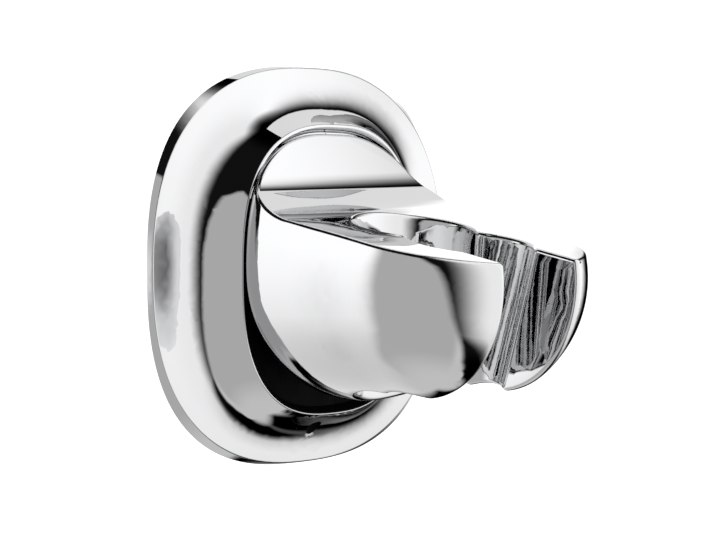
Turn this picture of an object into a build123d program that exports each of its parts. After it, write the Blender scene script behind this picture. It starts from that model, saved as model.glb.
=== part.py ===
from build123d import *
import os
from math import cos, exp, pi, radians, sin, sqrt, tan

os.makedirs("parts", exist_ok=True)

# Frame: the origin is the middle of the plate's back, on the wall.
# X runs along the wall, Y runs into the wall, Z is up. The holder stands out along -Y.
# "out" is a distance from the wall, measured along -Y. All sizes are in mm.

# wall plate: soft-square outlines, each given as half width, half height and squareness
plate_half_w = 38.0
plate_half_h = 40.1
plate_square = 2.6
rim_out = 1.4
rim_inset = 0.3
rim_square = 2.35
rim_round = 0.45
collar_half_w = 22.67
collar_half_h = 28.9
collar_square = 2.61
collar_drop = 0.43
collar_out = 10.2
collar_round = 0.35
sweep_lead = 0.8
sweep_power = 3.6

# inside of the plate; the shares count from the rim, 0, to the collar, 1
wall = 1.7
cavity_share = 0.36
web_share = 0.87
web_thick = 2.2

# dish inside the collar that the fork stands in
lip = 0.5
dish_depth = 2.0
dish_inset = 1.6

# fork: barrel and nose
nose_r = 24.3
nose_out = 47.0
nose_turn = 72.0
barrel_swell = 1.15
swell_out = 19.4
rear_fall_at_collar = 4.2
rear_fall_power = 2.7
rear_spare = 1.5
crown = 3.2
crown_keeps = 0.685
rear_square = 0.85
square_fade = 9.0

# fork: leaning face, hollow, ramp and sloping top
face_out = 11.5
face_height = 20.0
face_lean = 0.33
hollow_r = 6.5
ramp_slope = 0.62
ramp_end_out = 21.0
ramp_r = 20.0
top_height = 14.64
top_slope = 0.1548

# fork: two seats and the mouth
seat_r = 12.1
seat_draft = 2.0
rear_seat_out = 34.6
front_seat_out = 50.6
front_seat_lean = 15.0
mouth_half_w = 9.0
neck_round = 3.0
edge_round = 0.8

# bracket behind the plate
base_half = 22.0
base_thick = 3.0
base_corner = 9.0
wall_hole_r = 2.3
wall_hole_apart = 28.0
sink_r = 3.9
lug_half_w = 8.0
lug_height = 9.0
lug_gap = 0.4
pad_gap = 1.5
pad_start = 0.4

# grub screw under the plate
grub_r = 1.5
grub_length = 8.5
grub_out = 4.3
dog_r = 0.9
dog_length = 0.8
dog_gap = 0.15
grub_socket = 1.5
grub_socket_depth = 1.6
thread_gap = 0.05
pad_half_w = 5.0

# screws from behind into the fork
screw_r = 2.0
screw_hole_gap = 0.2
screw_x = 10.0
screw_z = 4.0
screw_length = 10.0
screw_tip_gap = 1.0
head_r = 3.8
head_height = 2.0
head_socket = 2.5
head_socket_depth = 1.3

# how finely the curved forms are drawn, and how far a cut reaches past what it cuts
outline_points = 28
plate_sections = 8
cavity_sections = 5
rear_sections = 6
barrel_sections = 5
nose_sections = 8
smooth_angle = 12.0
cut_spare = 3.0

seat_out = collar_out - dish_depth
web_out = seat_out - web_thick
rear_out = seat_out - rear_spare
far = 2 * nose_out


def at(x, out, z):
    return Vector(x, -out, z)


def block(half_w, out0, out1, z0, z1):
    return Pos(0, -(out0 + out1) / 2, (z0 + z1) / 2) * Box(2 * half_w, out1 - out0, z1 - z0)


# round bar along Y from one distance out to another
def bar(x, z, r, out0, out1):
    return Pos(x, -(out0 + out1) / 2, z) * Rot(90, 0, 0) * Cylinder(r, out1 - out0)


# closed soft-square curve at a distance out; its upper half may be taller and squarer
def ring(out, half_w, low, low_square, high, high_square, centre_z):
    points = []
    for k in range(outline_points):
        turn = pi / 2 + 2 * pi * k / outline_points
        h = high if sin(turn) > 0 else low
        n = high_square if sin(turn) > 0 else low_square
        r = (abs(cos(turn) / half_w) ** n + abs(sin(turn) / h) ** n) ** (-1 / n)
        points.append(at(r * cos(turn), out, centre_z + r * sin(turn)))
    return Wire([Edge.make_spline(points, periodic=True)])


# the plate's outline changes from the rim, share 0, to the collar, share 1
def plate_ring(share, out, inset=0.0):
    w = plate_half_w - rim_inset
    h = plate_half_h - rim_inset
    half_w = w + (collar_half_w - w) * share - inset
    half_h = h + (collar_half_h - h) * share - inset
    square = rim_square + (collar_square - rim_square) * share
    return ring(out, half_w, half_h, square, half_h, square, -collar_drop * share)


def sweep(share):
    rise = collar_out - rim_out - sweep_lead
    return rim_out + sweep_lead * share + rise * share ** sweep_power


# wall plate
back = ring(0, plate_half_w, plate_half_h, plate_square, plate_half_h, plate_square, 0)
rim = Solid.make_loft([back, plate_ring(0, rim_out)], ruled=True)
shares = [sin(pi / 2 * k / (plate_sections - 1)) for k in range(plate_sections)]
trumpet = Solid.make_loft([plate_ring(s, sweep(s)) for s in shares])
outer = Part() + [rim, trumpet]
outer = fillet(outer.edges().filter_by_position(Axis.Y, -rim_out - 0.1, -rim_out + 0.1), rim_round)
outer = fillet(outer.edges().filter_by_position(Axis.Y, -collar_out - 0.1, -collar_out + 0.1), collar_round)

step = (web_share - cavity_share) / (cavity_sections - 1)
shares = [cavity_share + step * k for k in range(cavity_sections)]
hollow_rings = [plate_ring(cavity_share, -cut_spare, wall * cavity_share)]
hollow_rings += [plate_ring(s, sweep(s) - wall, wall * s) for s in shares]
hollow_rings.append(plate_ring(web_share, web_out, wall * web_share))
pad = block(pad_half_w, pad_start, web_out, -plate_half_h, -base_half - pad_gap)
ledge = block(lug_half_w, pad_start, web_out, base_half, plate_half_h)
dish_rings = [plate_ring(1, seat_out, dish_inset)]
dish_rings += [plate_ring(1, out, lip) for out in (collar_out, collar_out + cut_spare)]
wall_plate = outer - Solid.make_loft(hollow_rings, ruled=True) + ((pad + ledge) & outer)
wall_plate -= Solid.make_loft(dish_rings, ruled=True)
wall_plate -= Pos(0, -grub_out, -plate_half_h) * Cylinder(grub_r + thread_gap, plate_half_h)
for side in (-1, 1):
    wall_plate -= bar(side * screw_x, screw_z, screw_r + screw_hole_gap, 0, far)


# fork: the barrel swells behind the nose and falls in again towards the collar
def fork_ring(out, base_r):
    forward = min(max((out - swell_out) / (nose_out - swell_out), 0), 1)
    swell = barrel_swell * cos(pi / 2 * forward) ** 2
    fall = rear_fall_at_collar * (max(swell_out - out, 0) / (swell_out - collar_out)) ** rear_fall_power
    half_w = base_r + swell - fall
    rise = crown * cos(pi / 2 * min(max((out - collar_out) / (nose_out - collar_out), 0), 1)) ** 2
    square = 2 + rear_square * exp(-max(out - collar_out, 0) / square_fade)
    return ring(out, half_w, half_w, 2, half_w + rise + crown_keeps * fall, square, 0)


rings = []
for k in range(rear_sections):
    rings.append(fork_ring(rear_out + (swell_out - rear_out) * k / rear_sections, nose_r))
for k in range(barrel_sections):
    rings.append(fork_ring(swell_out + (nose_out - swell_out) * k / barrel_sections, nose_r))
for k in range(nose_sections):
    turn = radians(nose_turn * k / (nose_sections - 1))
    rings.append(fork_ring(nose_out + nose_r * sin(turn), nose_r * cos(turn)))
bullet = Solid.make_loft(rings)

# the cut seen from the side: leaning face, hollow, ramp and sloping top
ramp_end = (-ramp_end_out, top_height - top_slope * ramp_end_out)
ramp_height = ramp_end[1] + ramp_slope * ramp_end_out
corner_out = (face_out - face_lean * (ramp_height - face_height)) / (1 - face_lean * ramp_slope)
corner = (-corner_out, ramp_height - ramp_slope * corner_out)
high = (-(face_out - face_lean * face_height), 2 * face_height)
low = (-far, top_height - top_slope * far)
side_view = Polygon(high, corner, ramp_end, low, (-far, 2 * face_height), align=None)
side_view = fillet(side_view.vertices().sort_by_distance(corner)[0], hollow_r)
side_view = fillet(side_view.vertices().sort_by_distance(ramp_end)[0], ramp_r)
cut = extrude(Plane.YZ * side_view, amount=2 * nose_r, both=True)


# arc about a centre from one point to another, the short way
def arc(centre, r, start, end):
    middle = centre + ((start - centre) + (end - centre)).normalized() * r
    return Edge.make_three_point_arc(start, middle, end)


# outline of both seats and the mouth at one height: circles joined by rounded necks
def slot_ring(z):
    rear_r = seat_r + tan(radians(seat_draft)) * (z - top_height + top_slope * rear_seat_out)
    up = z - top_height + top_slope * front_seat_out
    front_r = seat_r + tan(radians(seat_draft)) * up
    rear_c = at(0, rear_seat_out, z)
    front_c = at(0, front_seat_out + tan(radians(front_seat_lean)) * up, z)
    apart = rear_c.Y - front_c.Y
    rear_span = rear_r + neck_round
    front_span = front_r + neck_round
    along = (rear_span ** 2 - front_span ** 2 + apart ** 2) / (2 * apart)
    bend_x = mouth_half_w + neck_round
    edges = []
    ends = []
    for side in (1, -1):
        neck_c = rear_c + Vector(side * sqrt(rear_span ** 2 - along ** 2), -along, 0)
        bend_c = front_c + Vector(side * bend_x, -sqrt(front_span ** 2 - bend_x ** 2), 0)
        a = rear_c + (neck_c - rear_c) * (rear_r / rear_span)
        b = front_c + (neck_c - front_c) * (front_r / front_span)
        c = front_c + (bend_c - front_c) * (front_r / front_span)
        d = bend_c - Vector(side * neck_round, 0, 0)
        e = at(side * mouth_half_w, far, z)
        edges += [arc(neck_c, neck_round, a, b), arc(front_c, front_r, b, c), arc(bend_c, neck_round, c, d)]
        edges.append(Edge.make_line(d, e))
        ends += [a, e]
    edges.append(Edge.make_line(ends[1], ends[3]))
    edges.append(Edge.make_three_point_arc(ends[2], rear_c + Vector(0, rear_r, 0), ends[0]))
    return Wire(edges)


slot = Solid.make_loft([slot_ring(-nose_r - cut_spare), slot_ring(top_height + cut_spare)], ruled=True)
holder_body = Part() + [bullet] - cut - slot


# an edge is sharp where the two faces beside it don't run into each other smoothly
def is_sharp(edge):
    middle = edge.position_at(0.5)
    beside = [f for f in holder_body.faces() if any(edge.is_same(e) for e in f.edges())]
    normals = [f.normal_at(middle) for f in beside]
    return len(normals) == 2 and normals[0].get_angle(normals[1]) > smooth_angle


rounded = [e for e in holder_body.edges() if -e.position_at(0.5).Y > seat_out and is_sharp(e)]
holder_body = fillet(rounded, edge_round)
holder_body -= block(far, 0, seat_out, -far, far)
screw_end_out = web_out + screw_length
for side in (-1, 1):
    holder_body -= bar(side * screw_x, screw_z, screw_r + thread_gap, 0, screw_end_out + screw_tip_gap)

# bracket: base plate with two sunk holes and a lug for the grub screw
base = Plane.XZ * RectangleRounded(2 * base_half, 2 * base_half, base_corner)
wall_bracket = extrude(base, amount=base_thick)
wall_bracket += block(lug_half_w, 0, web_out - lug_gap, -base_half, -base_half + lug_height)
sink = sink_r - wall_hole_r
for side in (-1, 1):
    x = side * wall_hole_apart / 2
    wall_bracket -= bar(x, 0, wall_hole_r, -cut_spare, base_thick + cut_spare)
    wall_bracket -= Pos(x, -base_thick + sink / 2, 0) * Rot(90, 0, 0) * Cone(wall_hole_r, sink_r, sink)
dog_hole = Cylinder(dog_r + dog_gap, 2 * (dog_length + dog_gap))
wall_bracket -= Pos(0, -grub_out, -base_half) * dog_hole

# grub screw, standing upright under the bracket's lug
set_screw = Pos(0, -grub_out, -base_half - grub_length / 2) * Cylinder(grub_r, grub_length)
set_screw += Pos(0, -grub_out, -base_half) * Cylinder(dog_r, 2 * dog_length)
hexagon = extrude(RegularPolygon(grub_socket / 2, 6, major_radius=False), amount=grub_socket_depth)
set_screw -= Pos(0, -grub_out, -base_half - grub_length) * hexagon

# two screws from behind into the fork
body_screws = Part()
drive = Plane.XZ * RegularPolygon(head_socket / 2, 6, major_radius=False)
drive = extrude(drive, amount=head_socket_depth)
for side in (-1, 1):
    screw = bar(side * screw_x, screw_z, screw_r, web_out, screw_end_out)
    screw += bar(side * screw_x, screw_z, head_r, web_out - head_height, web_out)
    body_screws += screw - Pos(side * screw_x, head_height - web_out, screw_z) * drive

for name, piece in (
    ("wall_plate", wall_plate),
    ("holder_body", holder_body),
    ("wall_bracket", wall_bracket),
    ("set_screw", set_screw),
    ("body_screws", body_screws),
):
    export_step(piece, "parts/" + name + ".step")
    print(name, round(piece.volume), len(piece.solids()), piece.is_valid, piece.bounding_box())
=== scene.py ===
import math
import bpy
import bmesh
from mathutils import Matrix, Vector


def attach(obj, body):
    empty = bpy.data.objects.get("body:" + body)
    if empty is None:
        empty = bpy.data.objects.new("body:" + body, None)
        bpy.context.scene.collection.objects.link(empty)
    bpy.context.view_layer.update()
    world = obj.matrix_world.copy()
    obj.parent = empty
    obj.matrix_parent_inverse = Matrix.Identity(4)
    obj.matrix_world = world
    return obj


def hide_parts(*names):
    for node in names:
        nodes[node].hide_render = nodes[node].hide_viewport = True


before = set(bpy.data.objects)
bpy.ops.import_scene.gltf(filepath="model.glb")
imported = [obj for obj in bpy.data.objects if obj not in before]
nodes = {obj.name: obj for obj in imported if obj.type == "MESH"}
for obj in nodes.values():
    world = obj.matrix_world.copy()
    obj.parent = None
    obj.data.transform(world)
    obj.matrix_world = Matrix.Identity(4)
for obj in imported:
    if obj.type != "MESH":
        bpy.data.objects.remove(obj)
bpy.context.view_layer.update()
scene = bpy.context.scene
print("frame loaded:", sorted(nodes))


# small helpers for node trees

def addNode(tree, kind, x, y, **settings):
    node = tree.nodes.new(kind)
    node.location = (x, y)
    for name, value in settings.items():
        setattr(node, name, value)
    return node


def join(tree, source, output, target, socket):
    tree.links.new(source.outputs[output], target.inputs[socket])


def setRamp(node, stops):
    ramp = node.color_ramp
    ramp.interpolation = "LINEAR"
    while len(ramp.elements) < len(stops):
        ramp.elements.new(0.5)
    for element, (place, grey) in zip(ramp.elements, stops):
        element.position = place
        element.color = (grey, grey, grey, 1)


# polished pieces: the solid's own surface, welded and shaded smooth; lengths in metres

polish = {"weld": 2e-6, "sharpAngle": 40.0}


def smoothShell(mesh, evenBelow):
    shell = bmesh.new()
    shell.from_mesh(mesh)
    bmesh.ops.remove_doubles(shell, verts=shell.verts, dist=polish["weld"])
    if evenBelow:
        shallow = [edge for edge in shell.edges if edge.calc_face_angle(0) < math.radians(evenBelow)]
        bmesh.ops.beautify_fill(shell, faces=shell.faces, edges=shallow, method="ANGLE")
    for face in shell.faces:
        face.smooth = True
    for edge in shell.edges:
        edge.smooth = edge.calc_face_angle(0) < math.radians(polish["sharpAngle"])
    shell.to_mesh(mesh)
    shell.free()


# painted shade: the dish round the fork's foot and the grub screw's bore take the second material, a
# near-black metal standing in for the shade in them
def paintRecessShade(mesh, recess):
    for face in mesh.polygons:
        x, y, z = face.center
        outward = face.normal.x * x + face.normal.z * z
        inDish = outward < recess["slope"] and y < -recess["depth"] and z < recess["top"]
        inBore = math.hypot(x, y + recess["boreOut"]) < recess["boreRadius"] and z < 0
        if inDish or inBore:
            face.material_index = 1


# near the wall the wide faces of the flange lead the shading, not the narrow ones of its rim
def evenRim(piece, rimDepth):
    rim = [vert.index for vert in piece.data.vertices if vert.co.y > -rimDepth]
    piece.vertex_groups.new(name="rim").add(rim, 1.0, "REPLACE")
    even = piece.modifiers.new("evenRim", "WEIGHTED_NORMAL")
    even.mode = "FACE_AREA"
    even.keep_sharp = True
    even.vertex_group = "rim"


def polishedCopy(look, *materials):
    mesh = nodes[look["node"]].data.copy()
    mesh.name = look["piece"]
    smoothShell(mesh, look.get("evenBelow"))
    mesh.materials.clear()
    for material in materials:
        mesh.materials.append(material)
    if "recess" in look:
        paintRecessShade(mesh, look["recess"])
    piece = bpy.data.objects.new(look["piece"], mesh)
    scene.collection.objects.link(piece)
    if "rimDepth" in look:
        evenRim(piece, look["rimDepth"])
    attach(piece, "root")
    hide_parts(look["node"])
    print("polished", look["piece"], len(mesh.polygons), "faces")


# chrome: mirror finish with a faint uneven haze
chrome = {"tint": (0.68, 0.683, 0.688, 1), "rough": (0.012, 0.035), "hazeScale": 45.0, "hazeDetail": 3.0}


def makeChrome(name):
    material = bpy.data.materials.new(name)
    material.use_nodes = True
    tree = material.node_tree
    shader = tree.nodes["Principled BSDF"]
    shader.inputs["Base Color"].default_value = chrome["tint"]
    shader.inputs["Metallic"].default_value = 1.0
    place = addNode(tree, "ShaderNodeTexCoord", -1100, 0)
    haze = addNode(tree, "ShaderNodeTexNoise", -700, 0)
    haze.inputs["Scale"].default_value = chrome["hazeScale"]
    haze.inputs["Detail"].default_value = chrome["hazeDetail"]
    spread = addNode(tree, "ShaderNodeMapRange", -450, 0)
    spread.inputs["To Min"].default_value = chrome["rough"][0]
    spread.inputs["To Max"].default_value = chrome["rough"][1]
    join(tree, place, "Object", haze, "Vector")
    join(tree, haze, "Fac", spread, "Value")
    join(tree, spread, "Result", shader, "Roughness")
    return material


# bare metals: cast zinc for the bracket, plated steel for the screws; the near-black metal in the recess is
# painted shade
grainLook = {"detail": 6.0, "stops": (0.3, 0.7), "height": 0.0004}
zinc = {"tones": (0.33, 0.52), "rough": (0.42, 0.62), "grainScale": 420.0, "grainDepth": 0.18}
steel = {"tones": (0.45, 0.62), "rough": (0.22, 0.36), "grainScale": 700.0, "grainDepth": 0.06}
# shade: near-black tones laid on the recess and bore as painted shade
shade = {"tones": (0.004, 0.009), "rough": (0.55, 0.7), "grainScale": 300.0, "grainDepth": 0.05}


def makeBareMetal(name, finish):
    material = bpy.data.materials.new(name)
    material.use_nodes = True
    tree = material.node_tree
    shader = tree.nodes["Principled BSDF"]
    shader.inputs["Metallic"].default_value = 1.0
    place = addNode(tree, "ShaderNodeTexCoord", -1100, 0)
    grain = addNode(tree, "ShaderNodeTexNoise", -850, 0)
    grain.inputs["Scale"].default_value = finish["grainScale"]
    grain.inputs["Detail"].default_value = grainLook["detail"]
    join(tree, place, "Object", grain, "Vector")
    tone = addNode(tree, "ShaderNodeValToRGB", -550, 150)
    setRamp(tone, list(zip(grainLook["stops"], finish["tones"])))
    join(tree, grain, "Fac", tone, "Fac")
    join(tree, tone, "Color", shader, "Base Color")
    spread = addNode(tree, "ShaderNodeMapRange", -550, -100)
    spread.inputs["To Min"].default_value = finish["rough"][0]
    spread.inputs["To Max"].default_value = finish["rough"][1]
    join(tree, grain, "Fac", spread, "Value")
    join(tree, spread, "Result", shader, "Roughness")
    bump = addNode(tree, "ShaderNodeBump", -300, -300)
    bump.inputs["Strength"].default_value = finish["grainDepth"]
    bump.inputs["Distance"].default_value = grainLook["height"]
    join(tree, grain, "Fac", bump, "Height")
    join(tree, bump, "Normal", shader, "Normal")
    return material


castZinc = makeBareMetal("castZinc", zinc)
screwSteel = makeBareMetal("screwSteel", steel)

# evenBelow: diagonals between faces that bend less than this, in degrees, may turn
plate = {"node": "wall_plate", "piece": "trumpetPlate", "slot": "chrome_plate",
         "evenBelow": 3.0, "rimDepth": 0.0026,
         "recess": {"depth": 0.0081, "top": 0.014, "slope": 0.001, "boreOut": 0.0043, "boreRadius": 0.00156}}
# gapShade, the plate's second material, paints shade into the dish round the fork's foot and into the bore
polishedCopy(plate, makeChrome("plateChrome"), makeBareMetal("gapShade", shade))

fork = {"node": "holder_body", "piece": "forkBody", "slot": "chrome_fork"}
polishedCopy(fork, makeChrome("forkChrome"))

bracket = {"node": "wall_bracket", "piece": "hiddenBracket", "slot": "bracket_metal"}
polishedCopy(bracket, castZinc)

grub = {"node": "set_screw", "piece": "grubScrew", "slot": "screw_steel"}
polishedCopy(grub, screwSteel)

screws = {"node": "body_screws", "piece": "forkScrews", "slot": "screw_steel"}
polishedCopy(screws, screwSteel)


# light tent: soft panels close round the holder, seen only in its reflections
# round: degrees, 0 straight out from the wall and 90 at the right; height: from -1 under to 1 above
# an edge bends by the degrees given for each height; a later panel covers an earlier one
tent = {
    "radius": 0.2,
    "fineness": 5,
    "strength": 1.47,
    "shade": [(-1, 0.5), (-0.9, 0.49), (-0.68, 0.62), (-0.47, 0.8), (-0.05, 0.93), (0.2, 0.98), (1, 0.98)],
    "bends": {
        "gapLeft": [(-1, 75), (-0.98, 62), (-0.93, 33), (-0.86, 24), (-0.75, 18), (-0.66, 14), (-0.55, 10),
                    (-0.4, 6), (-0.2, 3), (0, 0), (0.2, -7), (0.4, -20), (0.5, -40), (0.6, -200), (1, -200)],
        "gapRight": [(-1, 60), (-0.75, 28), (-0.6, 6), (-0.4, 2), (0, 0), (0.2, -2), (0.4, -5), (0.6, -9),
                     (1, -15)],
        "backEdge": [(-1, -60), (-0.82, -40), (-0.76, -27), (-0.7, -18), (-0.6, -8), (-0.3, -3), (0, 0),
                     (0.35, 5), (1, 5)],
    },
    "panels": [
        {"grey": 0.38, "round": (-113, -30), "height": (-0.9, 3), "soft": (11, 6, 0.1), "left": "backEdge"},
        {"grey": 0.8, "round": (-40, 15), "height": (-0.5, 3), "soft": (5, 25, 0.2), "left": "gapLeft"},
        {"grey": 0.005, "round": (-43, -26), "height": (-3, 3), "soft": (4, 15, 0.1), "left": "gapLeft",
         "right": "gapRight"},
        {"grey": 0.0, "round": (66, 103), "height": (0.22, 3), "soft": (32, 3, 0.12)},
        {"grey": 0.0, "round": (-400, 104), "height": (0.95, 3), "soft": (1, 3, 0.045)},
        {"grey": 0.68, "round": (103, 200), "height": (0.55, 3), "soft": (3, 6, 0.05)},
        {"grey": 0.0, "round": (84, 112), "height": (-0.4, 0.35), "soft": (10, 5, 0.1)},
        {"grey": 0.0, "round": (70, 142), "height": (-3, -0.38), "soft": (28, 8, 0.2)},
        {"grey": 0.0, "round": (-41, 80), "height": (-3, -0.77), "soft": (9, 15, 0.09), "left": "gapLeft"},
        {"grey": 0.5, "round": (-400, 400), "height": (-3, -0.975), "soft": (1, 1, 0.02)},
    ],
}


def addMath(tree, kind, x, y, first, second):
    node = addNode(tree, "ShaderNodeMath", x, y, operation=kind)
    for socket, value in zip(node.inputs, (first, second)):
        if isinstance(value, float):
            socket.default_value = value
        else:
            tree.links.new(value, socket)
    return node.outputs["Value"]


def addRange(tree, x, y, value, source, target, kind="LINEAR"):
    node = addNode(tree, "ShaderNodeMapRange", x, y, interpolation_type=kind)
    node.inputs["From Min"].default_value = source[0]
    node.inputs["From Max"].default_value = source[1]
    node.inputs["To Min"].default_value = target[0]
    node.inputs["To Max"].default_value = target[1]
    tree.links.new(value, node.inputs["Value"])
    return node.outputs["Result"]


def addCurve(tree, x, y, height, stops):
    low = min(value for place, value in stops)
    high = max(value for place, value in stops)
    ramp = addNode(tree, "ShaderNodeValToRGB", x + 200, y)
    setRamp(ramp, [((place + 1) / 2, (value - low) / (high - low)) for place, value in stops])
    tree.links.new(addRange(tree, x, y, height, (-1, 1), (0, 1)), ramp.inputs["Fac"])
    return addRange(tree, x + 500, y, ramp.outputs["Color"], (0, 1), (low, high))


# 1 between two soft edges, 0 beyond them
def addEdges(tree, x, y, low, high, edges, soft):
    rise = addRange(tree, x, y, low, (edges[0] - soft[0], edges[0] + soft[0]), (0, 1), "SMOOTHSTEP")
    fall = addRange(tree, x, y - 250, high, (edges[1] - soft[1], edges[1] + soft[1]), (1, 0), "SMOOTHSTEP")
    return addMath(tree, "MULTIPLY", x + 200, y, rise, fall)


def makeTentGlow():
    material = bpy.data.materials.new("tentGlow")
    material.use_nodes = True
    tree = material.node_tree
    tree.nodes.clear()
    place = addNode(tree, "ShaderNodeTexCoord", -2000, 0)
    split = addNode(tree, "ShaderNodeSeparateXYZ", -1800, 0)
    join(tree, place, "Object", split, "Vector")
    height = addMath(tree, "DIVIDE", -1600, 100, split.outputs["Z"], tent["radius"])
    front = addMath(tree, "MULTIPLY", -1600, -100, split.outputs["Y"], -1.0)
    turn = addMath(tree, "ARCTAN2", -1400, -100, split.outputs["X"], front)
    turn = addMath(tree, "MULTIPLY", -1200, -100, turn, 180 / math.pi)
    bent = {None: turn}
    for k, (name, stops) in enumerate(tent["bends"].items()):
        bend = addCurve(tree, -1000, -300 * k - 300, height, stops)
        bent[name] = addMath(tree, "SUBTRACT", -200, -300 * k - 300, turn, bend)
    light = addCurve(tree, -1000, 300, height, tent["shade"])
    for k, panel in enumerate(tent["panels"]):
        x = 400 * k
        softLeft, softRight, softHeight = panel["soft"]
        left = bent[panel.get("left")]
        right = bent[panel.get("right")]
        across = addEdges(tree, x, 900, left, right, panel["round"], (softLeft, softRight))
        upright = addEdges(tree, x, 1500, height, height, panel["height"], (softHeight, softHeight))
        mix = addNode(tree, "ShaderNodeMix", x + 300, 300, data_type="FLOAT")
        mix.inputs["B"].default_value = panel["grey"]
        tree.links.new(addMath(tree, "MULTIPLY", x + 200, 600, across, upright), mix.inputs["Factor"])
        tree.links.new(light, mix.inputs["A"])
        light = mix.outputs["Result"]
    glow = addNode(tree, "ShaderNodeEmission", 4400, 300)
    glow.inputs["Strength"].default_value = tent["strength"]
    tree.links.new(light, glow.inputs["Color"])
    out = addNode(tree, "ShaderNodeOutputMaterial", 4600, 300)
    join(tree, glow, "Emission", out, "Surface")
    return material


def addStage(name, fill, material):
    mesh = bpy.data.meshes.new(name)
    shape = bmesh.new()
    fill(shape)
    shape.to_mesh(mesh)
    shape.free()
    mesh.materials.append(material)
    thing = bpy.data.objects.new(name, mesh)
    scene.collection.objects.link(thing)
    return thing


def fillTent(shape):
    bmesh.ops.create_icosphere(shape, subdivisions=tent["fineness"], radius=tent["radius"])


lightTent = addStage("lightTent", fillTent, makeTentGlow())
lightTent.visible_camera = False
lightTent.visible_diffuse = False
lightTent.visible_transmission = False
lightTent.visible_shadow = False
print("light tent ready")


# pale floor under the holder, soft lamps above it and white light all round
floor = {"size": 3.0, "drop": -0.11, "tones": (0.9, 0.94), "stops": (0.3, 0.7), "grain": 6.0, "rough": 0.8}
lamps = [
    {"name": "softLeft", "place": (-0.9, -0.9, 1.2), "size": 1.2, "power": 9.0},
    {"name": "softRight", "place": (1.0, -0.5, 1.0), "size": 1.0, "power": 5.0},
]
room = {"colour": (1, 1, 1, 1), "strength": 1.3}


def makePale():
    material = bpy.data.materials.new("paleFloor")
    material.use_nodes = True
    tree = material.node_tree
    shader = tree.nodes["Principled BSDF"]
    shader.inputs["Roughness"].default_value = floor["rough"]
    place = addNode(tree, "ShaderNodeTexCoord", -900, 0)
    cloud = addNode(tree, "ShaderNodeTexNoise", -700, 0)
    cloud.inputs["Scale"].default_value = floor["grain"]
    tone = addNode(tree, "ShaderNodeValToRGB", -450, 0)
    setRamp(tone, list(zip(floor["stops"], floor["tones"])))
    join(tree, place, "Object", cloud, "Vector")
    join(tree, cloud, "Fac", tone, "Fac")
    join(tree, tone, "Color", shader, "Base Color")
    return material


def fillFloor(shape):
    bmesh.ops.create_grid(shape, x_segments=1, y_segments=1, size=floor["size"])
    bmesh.ops.translate(shape, verts=shape.verts, vec=(0, 0, floor["drop"]))


paleFloor = addStage("paleFloor", fillFloor, makePale())
paleFloor.visible_glossy = False
for lamp in lamps:
    light = bpy.data.lights.new(lamp["name"], "AREA")
    light.size = lamp["size"]
    light.energy = lamp["power"]
    lampObject = bpy.data.objects.new(lamp["name"], light)
    scene.collection.objects.link(lampObject)
    lampObject.location = lamp["place"]
    lampObject.rotation_mode = "QUATERNION"
    lampObject.rotation_quaternion = (-Vector(lamp["place"])).to_track_quat("-Z", "Y")
    lampObject.visible_glossy = False
world = bpy.data.worlds.new("whiteRoom")
world.use_nodes = True
world.node_tree.nodes["Background"].inputs["Color"].default_value = room["colour"]
world.node_tree.nodes["Background"].inputs["Strength"].default_value = room["strength"]
scene.world = world
scene.view_settings.view_transform = "Standard"
print("floor and light ready")


# camera at the photograph's angle; place in metres, lens and sensor in millimetres

eye = {"place": (-0.3162, -0.3863, 0.0314), "back": (-0.6501, -0.7571, 0.0647), "lens": 124.3,
       "sensor": 36.0, "near": 0.01}
camera = bpy.data.cameras.new("photoEye")
camera.sensor_width = eye["sensor"]
camera.lens = eye["lens"]
camera.clip_start = eye["near"]
cameraObject = bpy.data.objects.new("photoEye", camera)
scene.collection.objects.link(cameraObject)
cameraObject.location = eye["place"]
cameraObject.rotation_mode = "QUATERNION"
cameraObject.rotation_quaternion = (-Vector(eye["back"])).to_track_quat("-Z", "Y")
scene.camera = cameraObject
